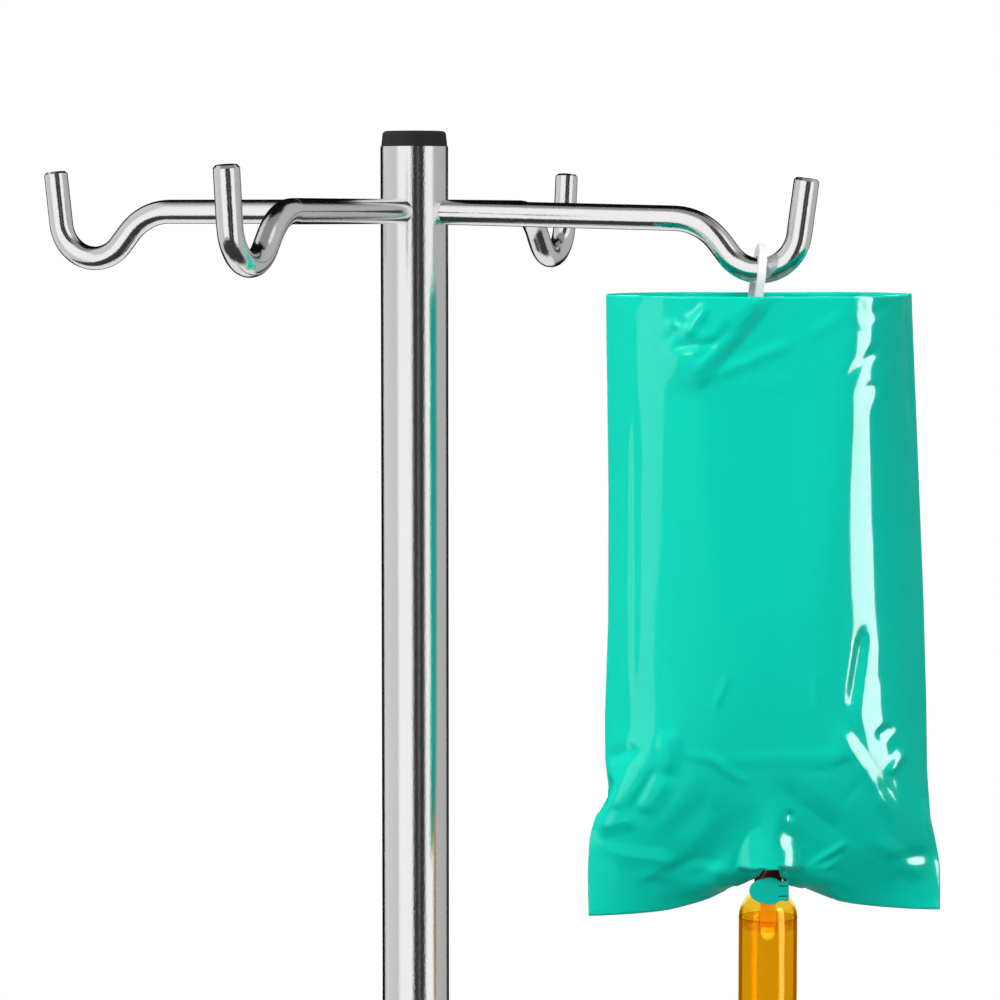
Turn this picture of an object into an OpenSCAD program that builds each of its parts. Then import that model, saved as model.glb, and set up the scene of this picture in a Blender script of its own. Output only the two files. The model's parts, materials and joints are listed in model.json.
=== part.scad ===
// Height-adjustable IV pole on a five-caster base, with four hooks and a hung,
// light-protected infusion bottle with its giving set.
// Frame: origin on the floor under the pole, +Z up, +X along the loaded hook arm. Millimetres.

/* [Base] */
// Distance from the pole axis to each caster's swivel axis
swivel_r = 272; // [230:2:300]
// Outside diameter of a leg tube
leg_d = 25; // [22:1:28]
// Outside diameter of the base hub
hub_d = 60; // [54:1:70]
// Caster wheel diameter
wheel_d = 50; // [46:1:52]

/* [Pole] */
// Outside diameter of the fixed lower tube
lower_tube_d = 28; // [28:0.5:30]
// Outside diameter of the sliding upper tube
upper_tube_d = 22; // [20:0.5:22]
// Wall of both tubes
tube_wall = 1.5; // [1.2:0.1:2]
// Height of the top of the lower tube
lower_tube_top = 1000; // [960:5:1010]
// Height of the hook arms with the pole fully lowered
arm_z = 1320; // [1310:5:1340]
// How far the upper tube stands above the arms
tube_above_arms = 21; // [18:1:30]

/* [Hooks] */
// Diameter of the hook rod
rod_d = 8; // [7:0.5:9]
// Straight length of an arm, from the pole axis to its first bend
arm_straight = 89.8; // [80:0.2:100]
// Centreline radius of the first, downward bend
down_bend_r = 20; // [14:1:26]
// Slope of the rod between the two bends, in degrees
dip_angle = 50; // [40:1:55]
// Length of the sloping stretch between the bends
dip_len = 5.1; // [3:0.1:9]
// Centreline radius of the hook
hook_r = 13; // [11:0.5:16]
// Outward lean of the hook's tip, in degrees
tip_lean = 6.5; // [0:0.5:12]
// Straight length of the hook's tip
tip_len = 17.7; // [14:0.1:24]
// Droop of the loaded arm, in degrees
loaded_sag = 1.36; // [0:0.02:1.5]

/* [Hung bottle] */
// Turn of the hung bottle about the vertical, from the loaded arm, in degrees
bag_turn = 24; // [0:1:35]
// Lean of the hanger loop, in degrees
loop_lean = 7; // [6:0.5:8]
// Width and depth of the oval infusion bottle
bottle_size = [74, 33]; // [30:1:80]
// Half the flat width of the cover bag at its bottom seam
cover_half_w = 55.3; // [54:0.1:58]
// Diameter of the drip chamber
chamber_d = 18.6; // [18:0.1:19]
// Length of the drip chamber's straight wall
chamber_len = 55; // [45:1:60]
// Outside diameter of the tubing
tubing_d = 4.1; // [3.8:0.1:4.2]

/* [Hidden] */
$fn = 64;
CASTERS = 5;
BRAKED = [1, 3];
CASTER_PIECES = ["hood", "axle", "wheels", "tyres"];

eps = 0.01;           // how far a cutting tool passes a face
running = 0.06;       // radial clearance of a part that turns or slides on another
chamfer = 0.8;        // small edge break
bend_thin = 0.02;     // a bend is this much thinner than the straights it joins
lap = 0.2;            // how far a straight runs into a bend
rod_r = rod_d / 2;
upper_r = upper_tube_d / 2;
lower_r = lower_tube_d / 2;

steel = [0.80, 0.81, 0.82];
black = [0.09, 0.09, 0.10];
grey = [0.45, 0.46, 0.48];
white = [0.93, 0.94, 0.93];
amber = [0.90, 0.58, 0.05, 0.7];
teal = [0.06, 0.68, 0.62];
green = [0.04, 0.73, 0.62];

// ---------------------------------------------------------------- helpers

module ring(outer_r, inner_r, h) {
    difference() {
        cylinder(r = outer_r, h = h);
        translate([0, 0, -1]) cylinder(r = inner_r, h = h + 2);
    }
}

// A disc whose top edge is broken by a chamfer.
module capped_disc(r, h, c) {
    cylinder(r = r, h = h - c);
    translate([0, 0, h - c]) cylinder(r1 = r, r2 = r - c, h = c);
}

// A cylinder along +Y, from y0 to y1.
module bar_y(r, y0, y1) {
    translate([0, y0, 0]) rotate([-90, 0, 0]) cylinder(r = r, h = y1 - y0);
}

// A bend of a round bar in the XZ plane, about the origin, from angle a0 through sweep degrees.
module bend_xz(bend_r, bar_r, a0, sweep) {
    rotate([90, 0, 0]) rotate([0, 0, a0])
        rotate_extrude(angle = sweep) translate([bend_r, 0]) circle(r = bar_r);
}

module at_each_leg() {
    for (k = [0:CASTERS - 1]) rotate([0, 0, k * 360 / CASTERS]) children();
}

// ---------------------------------------------------------------- base

hub_bottom = 76;
hub_h = 60;
leg_root_z = 108;     // height of the leg axes at the pole axis
leg_end_z = 76;       // and at the swivels
leg_slope = atan((leg_root_z - leg_end_z) / swivel_r);
leg_run = swivel_r / cos(leg_slope);
socket_r = 14;
socket_z = [62, 92];
stem_r = 4;

module base_hub() {
    color(steel) difference() {
        union() {
            translate([0, 0, hub_bottom]) cylinder(d = hub_d, h = hub_h - 3);
            translate([0, 0, hub_bottom + hub_h - 3])
                cylinder(d1 = hub_d, d2 = hub_d - 6, h = 3);
        }
        translate([0, 0, hub_bottom - 1]) cylinder(r = lower_r, h = hub_h + 2);
    }
}

// One leg: a sloping tube, cut to fit the hub and its upright caster socket.
module leg() {
    module along_leg() translate([0, 0, leg_root_z]) rotate([0, 90 + leg_slope, 0]) children();
    difference() {
        along_leg() cylinder(d = leg_d, h = leg_run);
        along_leg() cylinder(d = leg_d - 2 * tube_wall, h = leg_run + 1);
        translate([0, 0, hub_bottom - 20]) cylinder(d = hub_d, h = hub_h + 40);
        translate([swivel_r, 0, socket_z[0] - 20]) cylinder(r = socket_r - 1, h = 80);
    }
    translate([swivel_r, 0, socket_z[0]])
        ring(socket_r, stem_r, socket_z[1] - socket_z[0]);
}

module base_legs() { color(steel) at_each_leg() leg(); }

module socket_caps() {
    color(black) at_each_leg()
        translate([swivel_r, 0, socket_z[1]]) capped_disc(socket_r - 0.3, 3.5, 1.5);
}

// Plug on which the foot of the upper tube lands when the pole is lowered.
module base_plug() {
    color(black) {
        translate([0, 0, hub_bottom - 4]) cylinder(r = hub_d / 2 - 6, h = 4);
        translate([0, 0, hub_bottom - eps]) cylinder(r = lower_r - tube_wall - 0.05, h = plug_h + eps);
    }
}

// ---------------------------------------------------------------- casters

wheel_r = wheel_d / 2;
trail = 20;              // how far the axle trails the swivel axis
heading = [64, 118, 82, 101, 73];   // which way each caster points, from its leg
tread_t = 3.4;           // thickness of a tyre
web_half = 5.5;          // half the thickness of the web between the wheels
wheel_y = [6.2, 19.2];   // inner and outer face of a wheel
axle_r = 3;
hood_r = [26.2, 28.6];   // inner and outer radius of the hood's roof
hood_arc = [15, 178];    // start and sweep of the roof, in degrees from the trailing side
swivel_top = 60;
pedal_angle = 8;         // where the brake pedal's pin sits, in degrees round the axle
pedal_r = 33;            // and how far from the axle
pedal_pin_r = 1.6;

module caster_place(k) {
    rotate([0, 0, (k - 1) * 360 / CASTERS]) translate([swivel_r, 0, 0])
        rotate([0, 0, heading[k - 1]]) children();
}

module at_axle() { translate([trail, 0, wheel_r]) children(); }

module at_pedal_pin() {
    at_axle() translate([pedal_r * cos(pedal_angle), 0, pedal_r * sin(pedal_angle)]) children();
}

module both_sides() {
    children();
    mirror([0, 1, 0]) children();
}

// Stems are screwed into the sockets. A thrust washer on each rests on its caster.
module caster_stems() {
    color(steel) at_each_leg() translate([swivel_r, 0, 0]) {
        translate([0, 0, 41]) cylinder(r = stem_r, h = 46);
        translate([0, 0, swivel_top + 0.2]) cylinder(r = 8, h = socket_z[0] - swivel_top - 0.2);
    }
}

// Hood over a twin wheel: a roof, a web between the wheels, and the swivel's boss.
module caster_hood(k) {
    roof_half = wheel_y[1] + 0.6;
    color(grey) caster_place(k) difference() {
        union() {
            at_axle() rotate([90, 0, 0]) rotate([0, 0, hood_arc[0]])
                rotate_extrude(angle = hood_arc[1]) polygon([
                    [8, -web_half], [hood_r[0], -web_half], [hood_r[0], -roof_half],
                    [hood_r[1], -roof_half], [hood_r[1], roof_half], [hood_r[0], roof_half],
                    [hood_r[0], web_half], [8, web_half]]);
            at_axle() bar_y(14, 0.3 - web_half, web_half - 0.3);
            translate([0, 0, 42]) cylinder(r = web_half - 0.1, h = 10);
            translate([0, 0, 48]) cylinder(r = 9, h = swivel_top - 48);
            at_axle() rotate([0, -pedal_angle, 0]) translate([0, -3.9, -3.2])
                cube([pedal_r, 7.8, 6.4]);
            at_pedal_pin() bar_y(4, -3.8, 3.8);
        }
        at_axle() bar_y(axle_r, -30, 30);
        at_pedal_pin() bar_y(pedal_pin_r, -30, 30);
        translate([0, 0, 40]) cylinder(r = stem_r + running, h = 30);
    }
}

// Axle with a button head outside each wheel.
module caster_axle(k) {
    color(steel) caster_place(k) at_axle() {
        bar_y(axle_r, -wheel_y[1] - 0.6, wheel_y[1] + 0.6);
        both_sides() bar_y(4.6, wheel_y[1] + 0.2, wheel_y[1] + 1.6);
    }
}

// Wheel cores, dished on the outside.
module caster_wheels(k) {
    color(black) caster_place(k) at_axle() both_sides() difference() {
        bar_y(wheel_r - tread_t, wheel_y[0], wheel_y[1]);
        bar_y(axle_r + running, 0, 30);
        difference() {
            bar_y(wheel_r - tread_t - 2.5, wheel_y[1] - 3, wheel_y[1] + 1);
            bar_y(7, wheel_y[1] - 4, wheel_y[1] + 2);
        }
    }
}

module caster_tyres(k) {
    edge = 1.4;
    r0 = wheel_r - tread_t;
    color(grey) caster_place(k) at_axle() both_sides() rotate([-90, 0, 0])
        rotate_extrude() polygon([
            [r0, wheel_y[0]], [wheel_r - edge, wheel_y[0]], [wheel_r, wheel_y[0] + edge],
            [wheel_r, wheel_y[1] - edge], [wheel_r - edge, wheel_y[1]], [r0, wheel_y[1]]]);
}

// Foot pedal: a pin through the hood's lug, an off-centre shoe before each tyre, and a paddle.
module caster_brake(k) {
    shoe_r = 6.4;
    shoe_drop = 3;
    shoe_y = [4.1, 17];
    paddle_half = 12;
    paddle_len = 26;
    color(teal) caster_place(k) at_pedal_pin() {
        bar_y(pedal_pin_r - running, -shoe_y[0] - 1, shoe_y[0] + 1);
        both_sides() translate([0, 0, -shoe_drop]) bar_y(shoe_r, shoe_y[0], shoe_y[1]);
        rotate([0, -12, 0]) {
            translate([5.2, -paddle_half, -2]) cube([paddle_len - 5.2, 2 * paddle_half, 3.6]);
            for (rib = [0:3]) translate([11 + rib * 3.8, 0, 1.6]) bar_y(0.8, -10, 10);
        }
    }
}

// ---------------------------------------------------------------- pole and clamp

tube_foot_z = 100;        // lower end of the upper tube when lowered
tube_top_z = arm_z + tube_above_arms;
collar_z = [956, lower_tube_top + 42];
collar_r = 19;
screw_z = lower_tube_top + 20;
screw_r = 4;
boss_y = -28;             // outer end of the collar's screw boss
knob_y = [-48, -30];      // outer and inner face of the knob
flange_r = 5.4;           // the screw's flange, which holds it in the collar
flange_y = [-21.5, -19];
screw_end_r = 2.5;        // the screw's threaded end, in the pad
pad_half = 4.6;           // half width of the square pad
pad_y = [-upper_r - 6.1, -upper_r - 0.1];   // its back and its face
bush_len = 100;           // its lower end is the stop at full height
foot_h = 10;
plug_h = 14;

module lower_tube() {
    color(steel) translate([0, 0, hub_bottom])
        ring(lower_r, lower_r - tube_wall, lower_tube_top - hub_bottom);
}

module guide_bush() {
    color(white) translate([0, 0, lower_tube_top - bush_len])
        ring(lower_r - tube_wall, upper_r + running, bush_len);
}

// Collar on the lower tube's end, with a side boss for the clamp screw.
module clamp_collar() {
    h = collar_z[1] - collar_z[0];
    color(black) difference() {
        union() {
            translate([0, 0, collar_z[0]]) cylinder(r1 = collar_r - 2, r2 = collar_r, h = 2);
            translate([0, 0, collar_z[0] + 2]) capped_disc(collar_r, h - 2, 2.5);
            translate([0, 0, screw_z]) bar_y(10, boss_y, 0);
        }
        translate([0, 0, collar_z[0] - 1]) cylinder(r = lower_r, h = lower_tube_top - collar_z[0] + 1);
        translate([0, 0, lower_tube_top - 1]) cylinder(r = upper_r + 0.15, h = h);
        translate([0, 0, screw_z]) {
            bar_y(screw_r + running, boss_y - 5, 0);
            bar_y(flange_r + running, flange_y[0] - 0.1, 0);
            translate([-pad_half - running, flange_y[1], -pad_half - running])
                cube([2 * (pad_half + running), -flange_y[1], 2 * (pad_half + running)]);
        }
    }
}

// The screw turns in place, held by its flange. Its thin threaded end draws the pad in and out.
module clamp_screw() {
    color(steel) translate([0, 0, screw_z]) {
        bar_y(screw_r, knob_y[0] + 4, flange_y[1]);
        bar_y(flange_r, flange_y[0], flange_y[1]);
        bar_y(screw_end_r, flange_y[1] - eps, pad_y[1] - 3);
    }
}

// Square pad, keyed in the collar's pocket and threaded on the screw's end.
module pressure_pad() {
    color(white) translate([0, 0, screw_z]) difference() {
        translate([-pad_half, pad_y[0], -pad_half])
            cube([2 * pad_half, pad_y[1] - pad_y[0], 2 * pad_half]);
        bar_y(screw_end_r + running, pad_y[0] - 1, pad_y[1] - 1.6);
    }
}

// Six-lobed knob, moulded round the screw's head.
module knob_grip() {
    lobes = 6;
    color(black) translate([0, 0, screw_z]) difference() {
        union() {
            bar_y(15, knob_y[0] + 2, knob_y[1]);
            bar_y(10, knob_y[0], knob_y[1]);
            for (i = [0:lobes - 1]) rotate([0, i * 360 / lobes, 0])
                translate([15, 0, 0]) bar_y(4.6, knob_y[0] + 2, knob_y[1]);
        }
        bar_y(screw_r, knob_y[0] + 4, knob_y[1] + 1);
    }
}

module upper_tube() {
    color(steel) translate([0, 0, tube_foot_z])
        ring(upper_r, upper_r - tube_wall, tube_top_z - tube_foot_z);
}

// Plug on which the upper tube turns; its flange slides inside the lower tube.
module foot_bush() {
    color(white) {
        translate([0, 0, tube_foot_z - foot_h])
            cylinder(r = lower_r - tube_wall - running, h = foot_h);
        translate([0, 0, tube_foot_z - eps]) cylinder(r = upper_r - tube_wall - running, h = 18);
    }
}

// End plug: a slightly tapered head with a rounded edge, and a spigot in the tube.
module top_cap() {
    head_h = 5;
    head_r = [upper_r - 0.25, upper_r - 0.65];
    edge = 1.3;
    color(black) translate([0, 0, tube_top_z]) {
        rotate_extrude() {
            polygon([[0, 0], [head_r[0], 0], [head_r[1], head_h - edge],
                     [head_r[1] - edge, head_h - edge], [head_r[1] - edge, head_h], [0, head_h]]);
            translate([head_r[1] - edge, head_h - edge]) circle(r = edge);
        }
        translate([0, 0, -14]) cylinder(r = upper_r - tube_wall, h = 14 + eps);
    }
}

// ---------------------------------------------------------------- hook arms

// The rod's corner points in its own XZ plane: end of the first bend, end of the slope,
// centre of the hook's arc, and the foot of the tip.
function bend_end() = [arm_straight + down_bend_r * sin(dip_angle), -down_bend_r * (1 - cos(dip_angle))];
function dip_end() = bend_end() + dip_len * [cos(dip_angle), -sin(dip_angle)];
function hook_centre() = dip_end() + hook_r * [sin(dip_angle), cos(dip_angle)];
function tip_foot() = hook_centre() + hook_r * [cos(tip_lean), -sin(tip_lean)];

module hook_rod() {
    rotate([0, 90, 0]) cylinder(r = rod_r, h = arm_straight + lap);
    translate([arm_straight, 0, -down_bend_r])
        bend_xz(down_bend_r, rod_r - bend_thin, 90 - dip_angle, dip_angle);
    translate([bend_end()[0], 0, bend_end()[1]]) rotate([0, 90 + dip_angle, 0])
        translate([0, 0, -lap]) cylinder(r = rod_r, h = dip_len + 2 * lap);
    translate([hook_centre()[0], 0, hook_centre()[1]])
        bend_xz(hook_r, rod_r - bend_thin, 270 - dip_angle, 90 + dip_angle - tip_lean);
    translate([tip_foot()[0], 0, tip_foot()[1]]) rotate([0, tip_lean, 0])
        translate([0, 0, -lap]) capped_disc(rod_r, tip_len + lap, chamfer);
}

// An arm welded to the tube at a quarter turn, its root cut to the tube's curve.
module arm(quarter, sag = 0) {
    color(steel) difference() {
        translate([0, 0, arm_z]) rotate([0, sag, quarter * 90]) hook_rod();
        translate([0, 0, arm_z - 20]) cylinder(r = upper_r, h = 40);
    }
}

// ---------------------------------------------------------------- hung bottle

// Lowest point of the loaded hook's centreline, after its sag.
hook_low = [hook_centre()[0], hook_centre()[1] - hook_r];
hook_x = hook_low[0] * cos(loaded_sag) + hook_low[1] * sin(loaded_sag);
hook_dz = hook_low[1] * cos(loaded_sag) - hook_low[0] * sin(loaded_sag);

// The hung pieces share a frame at the hook: x across the bottle, y through it,
// z from the height of the arms.
module hung() { translate([hook_x, 0, arm_z]) rotate([0, 0, bag_turn]) children(); }

loop_inner_r = 9;
loop_outer_r = 13;
loop_w = 2.4;            // thickness of the strap
loop_gap = 0.5;
eye_drop = 27.5;         // from the rod's centre down to the loop's eyes
eye_r = 3.2;
pin_r = 1.2;

// Loop over the hook, leaning about the rod's centre, with an eye at each foot.
module hanger_loop() {
    arch_z = rod_r + loop_gap - loop_inner_r;
    leg_half = (loop_outer_r - loop_inner_r) / 2;
    color(white) hung() translate([0, 0, hook_dz]) rotate([0, loop_lean, 0]) difference() {
        union() {
            translate([0, 0, arch_z]) rotate([0, 90, 0]) translate([0, 0, -loop_w / 2])
                rotate([0, 0, 90]) rotate_extrude(angle = 180)
                    translate([loop_inner_r, 0]) square([loop_outer_r - loop_inner_r, loop_w]);
            both_sides() {
                translate([-loop_w / 2, loop_inner_r, -eye_drop])
                    cube([loop_w, 2 * leg_half, arch_z + eye_drop + eps]);
                translate([0, 0, -eye_drop]) bar_y(eye_r, loop_inner_r, loop_outer_r);
            }
        }
        translate([0, 0, -eye_drop]) bar_y(pin_r + running, -20, 20);
    }
}

// Bottle frame: origin at the hanger pin, tilted so that the neck hangs over the drip chamber.
pin_x = -eye_drop * sin(loop_lean);
pin_z = hook_dz - eye_drop * cos(loop_lean);
chamber_x = 4.1;
neck_drop = 160;
bottle_tilt = asin((chamber_x - pin_x) / neck_drop);
bottle_base = -3.6;      // heights below, in the bottle frame
shoulder_z = -122;
neck_z = -140;
mouth_z = -156;
neck_r = 10.5;
bottle_wall = 1;

module in_bottle() {
    hung() translate([pin_x, 0, pin_z]) rotate([0, -bottle_tilt, 0]) children();
}

// Oval prism with a tapering shoulder, shrunk by inset on every side.
module bottle_form(inset, top, bottom) {
    half = bottle_size[0] / 2 - bottle_size[1] / 2;
    r = bottle_size[1] / 2 - inset;
    module oval(h) {
        for (s = [-1, 1]) translate([s * half, 0, 0]) cylinder(r = r, h = h);
        translate([-half, -r, 0]) cube([2 * half, 2 * r, h]);
    }
    translate([0, 0, shoulder_z]) oval(top - shoulder_z);
    hull() {
        for (s = [-1, 1]) translate([s * half, 0, shoulder_z - 0.5]) cylinder(r = r, h = 0.5, $fn = 32);
        translate([0, 0, neck_z]) cylinder(r = neck_r - inset, h = 0.5, $fn = 32);
    }
    translate([0, 0, bottom]) cylinder(r = neck_r - inset, h = neck_z - bottom + 0.4);
}

module infusion_bottle() {
    color([0.93, 0.95, 0.95, 0.6]) in_bottle() {
        difference() {
            bottle_form(0, bottle_base, mouth_z);
            bottle_form(bottle_wall, bottle_base - bottle_wall, mouth_z - 1);
        }
        translate([-3, -8.6, bottle_base - eps]) cube([6, 17.2, -bottle_base + 2.2]);
        bar_y(pin_r, -loop_outer_r - 0.4, loop_outer_r + 0.4);
    }
}

// The drug solution fills the inverted bottle up to an air space.
module solution() {
    color([0.95, 0.9, 0.6, 0.5]) in_bottle() difference() {
        bottle_form(bottle_wall + 0.05, bottle_base - 22, mouth_z + 9);
        multmatrix(spike_in_bottle()) spike(0.05);
    }
}

module stopper() {
    color(grey) in_bottle() difference() {
        union() {
            translate([0, 0, mouth_z]) cylinder(r = neck_r - bottle_wall, h = 8.6);
            translate([0, 0, mouth_z - 2]) cylinder(r = neck_r, h = 2);
        }
        multmatrix(spike_in_bottle()) spike(0);
    }
}

module neck_ring() {
    color(white) in_bottle() translate([0, 0, mouth_z - 3.5]) difference() {
        cylinder(r = neck_r + 1.5, h = 12);
        translate([0, 0, 1.5]) cylinder(r = neck_r, h = 12);
        translate([0, 0, -1]) cylinder(r = 6, h = 4);
    }
}

// ---------------------------------------------------------------- cover bag

cover_top = -26;
cover_mouth_half = 48;   // half width at the open top
cover_mid_half = 50.4;   // and along the bottle
cover_depth = 20.5;      // half its depth, bulged round the bottle
cover_wall = 0.5;
cover_cols = 40;
cover_rows = 13;

function smooth(t) = let (u = min(max(t, 0), 1)) u * u * (3 - 2 * u);
function mix(a, b, t) = a + (b - a) * t;

// The bottom edge arches up over the neck and falls to the corners.
function cover_bottom(x) = -205.6 - 14.2 * smooth((abs(x - chamber_x) - 6) / 42);
function cover_half(v) = v < 0.8 ? mix(cover_mouth_half, cover_mid_half, smooth(v / 0.6))
                                 : mix(cover_mid_half, cover_half_w, smooth((v - 0.8) / 0.14));
function cover_centre(v) = mix(0, 2.4, smooth(v / 0.5));
function cover_bulge(xn, x, v, wall) =
    mix((cover_depth - wall) * pow(max(1 - pow(abs(xn), 3), 0), 0.7),
        14.2 * exp(-pow((x - chamber_x) / 13, 2)) + 0.8 - wall * 1.2,
        smooth((v - 0.72) / 0.28));

// A point of the sheet: t runs round the bag and v from the mouth to the bottom edge.
function cover_point(t, v, wall) =
    let (half = cover_half(v) - 3 * wall,
         x = cover_centre(v) + half * cos(t),
         y = cover_bulge(cos(t), x, v, wall) * sign(sin(t)))
    [x, abs(sin(t)) < 0.001 ? 0 : y, mix(cover_top, cover_bottom(x), v)];

// An open-ended sleeve of film: outer and inner sheets joined by a rim at each end.
module cover_bag() {
    n = cover_cols;
    m = cover_rows;
    points = [for (wall = [0, cover_wall], j = [0:m], i = [0:n - 1])
        cover_point(i * 360 / n, j / m, wall)];
    function at(side, j, i) = side * (m + 1) * n + j * n + i % n;
    function quad(a, b, c, d) = [[a, b, c], [a, c, d]];
    sheets = [for (j = [0:m - 1], i = [0:n - 1], q = concat(
        quad(at(0, j, i), at(0, j, i + 1), at(0, j + 1, i + 1), at(0, j + 1, i)),
        quad(at(1, j, i), at(1, j + 1, i), at(1, j + 1, i + 1), at(1, j, i + 1)))) q];
    rims = [for (i = [0:n - 1], q = concat(
        quad(at(0, 0, i), at(1, 0, i), at(1, 0, i + 1), at(0, 0, i + 1)),
        quad(at(0, m, i), at(0, m, i + 1), at(1, m, i + 1), at(1, m, i)))) q];
    color(green) hung() polyhedron(points, concat(sheets, rims));
}

// ---------------------------------------------------------------- drip chamber

chamber_r = chamber_d / 2;
dome_z = -223;           // centre of the chamber's domed cap, in the hung frame
hub_top = -206.4;
port_z = -212.9;         // height of the air vent
port_r = 3.4;
port_bore = 2.7;
port_face = -8.6;
flap_hinge = [4.75, -7.9];
chamber_wall = 0.9;
chamber_end = dome_z - chamber_len;

module in_chamber() { hung() translate([chamber_x, 0, 0]) children(); }

// Matrix that carries the chamber's frame into the bottle's, for cutting the spike's path.
function spike_in_bottle() = let (c = cos(bottle_tilt), s = sin(bottle_tilt), dx = chamber_x - pin_x)
    [[c, 0, s, dx * c - pin_z * s], [0, 1, 0, 0], [-s, 0, c, -dx * s - pin_z * c], [0, 0, 0, 1]];

// Hollow piercing spike, from the hub up through the stopper.
module spike(grow) {
    translate([0, 0, hub_top - eps]) cylinder(r = 2.6 + grow, h = 20);
    translate([0, 0, hub_top + 20 - 2 * eps]) cylinder(r1 = 2.6 + grow, r2 = 0.7 + grow, h = 7);
}

module spike_hub() {
    color(amber) in_chamber() difference() {
        union() {
            spike(0);
            translate([0, 0, -215]) cylinder(r = 4.4, h = hub_top + 215);
            translate([0, 0, hub_top - 2]) cylinder(r = 5, h = 1.2);
            translate([0, 0, port_z]) bar_y(port_r, port_face, -2);
            translate([0, 0, port_z - 1.25]) {
                translate([flap_hinge[0], flap_hinge[1], 0]) cylinder(r = 0.95, h = 2.5);
                translate([3, flap_hinge[1] - 0.4, 0]) cube([flap_hinge[0] - 3, 1.3, 2.5]);
            }
            translate([flap_hinge[0], flap_hinge[1], port_z - 3.5]) cylinder(r = 0.5, h = 7);
        }
        translate([0, 0, dome_z]) sphere(r = chamber_r);
        translate([0, 0, port_z]) bar_y(port_bore, port_face - 1, -5.6);
        translate([0, 0, -216]) cylinder(r = 1.1, h = 32);
    }
}

module vent_filter() {
    color(white) in_chamber() difference() {
        translate([0, 0, port_z]) bar_y(port_bore - 0.05, -6.4, -5.65);
        translate([0, 0, dome_z]) sphere(r = chamber_r + 0.05);
    }
}

// Flap over the vent: a round lid with a finger tip, and hinge fingers split by two slots.
module vent_flap() {
    lid_y = [-10.2, -8.9];
    t = lid_y[1] - lid_y[0];
    color(teal) in_chamber() translate([0, 0, port_z]) difference() {
        union() {
            translate([0, lid_y[1], 0]) rotate([90, 0, 0]) linear_extrude(t) {
                translate([-0.4, 0]) circle(r = 4.3);
                translate([-3.6, 0]) circle(r = 3.2);
                translate([-2.5, 0]) circle(r = 3.75);
                translate([0, -3]) square([flap_hinge[0] + 0.8, 6]);
            }
            difference() {
                bar_y(2.3, lid_y[1] - eps, lid_y[1] + 1.6);
                bar_y(1.6, lid_y[1] - 1, lid_y[1] + 3);
            }
            for (s = [-1, 1]) translate([0, 0, s * 2.15 - 0.75]) {
                translate([flap_hinge[0], flap_hinge[1], 0]) cylinder(r = 1, h = 1.5);
                translate([flap_hinge[0] - 0.95, lid_y[1] - eps, 0]) cube([1.9, 1, 1.5]);
            }
        }
        for (s = [-1, 1]) translate([2.4, lid_y[0] - 1, s * 1.62 - 0.15]) cube([6, 1.9, 0.3]);
        translate([flap_hinge[0], flap_hinge[1], -5]) cylinder(r = 0.5 + running, h = 10);
    }
}

// Domed cap with the drop former hanging inside it.
module chamber_cap() {
    color(amber) in_chamber() difference() {
        union() {
            difference() {
                translate([0, 0, dome_z]) sphere(r = chamber_r);
                translate([0, 0, dome_z]) sphere(r = chamber_r - chamber_wall);
                translate([-20, -20, dome_z - 30]) cube([40, 40, 30]);
            }
            translate([0, 0, dome_z - 3.4]) ring(chamber_r - chamber_wall, chamber_r - 2 * chamber_wall, 3.6);
            translate([0, 0, dome_z]) ring(chamber_r - 0.2, chamber_r - 2 * chamber_wall, 0.5);
            translate([0, 0, -226]) cylinder(r = 2.4, h = 12);
            translate([0, 0, -228.5]) cylinder(r1 = 1.5, r2 = 2, h = 2.6);
        }
        translate([0, 0, -230]) cylinder(r = 0.9, h = 30);
    }
}

module chamber_body() {
    cone_h = 9;
    spout_r = 3.4;
    spout_h = 9;
    color(amber) in_chamber() difference() {
        union() {
            translate([0, 0, chamber_end]) cylinder(r = chamber_r, h = chamber_len);
            translate([0, 0, chamber_end - cone_h]) cylinder(r1 = spout_r, r2 = chamber_r, h = cone_h);
            translate([0, 0, chamber_end - cone_h - spout_h]) cylinder(r = spout_r, h = spout_h);
        }
        translate([0, 0, chamber_end]) cylinder(r = chamber_r - chamber_wall, h = chamber_len + 1);
        translate([0, 0, chamber_end - cone_h + 1.2])
            cylinder(r1 = tubing_d / 2 - 0.6, r2 = chamber_r - chamber_wall, h = cone_h - 1.2 + eps);
        translate([0, 0, chamber_end - cone_h - spout_h - 1]) cylinder(d = tubing_d, h = spout_h);
        translate([0, 0, chamber_end - cone_h - 3]) cylinder(r = tubing_d / 2 - 0.6, h = 8);
    }
}

module fluid_filter() {
    color(white) in_chamber() {
        translate([0, 0, chamber_end + 2]) ring(chamber_r - chamber_wall - 0.05, 6.4, 3);
        translate([0, 0, chamber_end + 3]) cylinder(r = 6.4, h = 0.6);
    }
}

// ---------------------------------------------------------------- tubing and clamp

tubing_r = tubing_d / 2;
tubing_bore = tubing_r - 0.6;
tubing_top = chamber_end - 10.5;
clamp_z = -450;          // middle of the roller clamp
park_x = 14;             // the parked end stands this far from the tubing
luer_z = clamp_z - 5;    // lower end of the luer connector
luer_socket = 9;         // depth of its tubing socket

// The slack hangs in a drop-shaped loop: it parts, runs out straight, and turns round.
loop_z = -640;
part_r = 60;
part_angle = 25;
run_len = 80;
part_end = [-part_r * (1 - cos(part_angle)), loop_z - part_r * sin(part_angle)];
run_end = part_end - run_len * [sin(part_angle), cos(part_angle)];
round_r = (park_x / 2 - run_end[0]) / cos(part_angle);

module tubing_bend(r, a0, sweep) {
    rotate([90, 0, 0]) rotate([0, 0, a0]) rotate_extrude(angle = sweep) translate([r, 0])
        difference() {
            circle(r = tubing_r - bend_thin);
            circle(r = tubing_bore + bend_thin);
        }
}

module tubing_straight(h) { ring(tubing_r, tubing_bore, h); }

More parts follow.
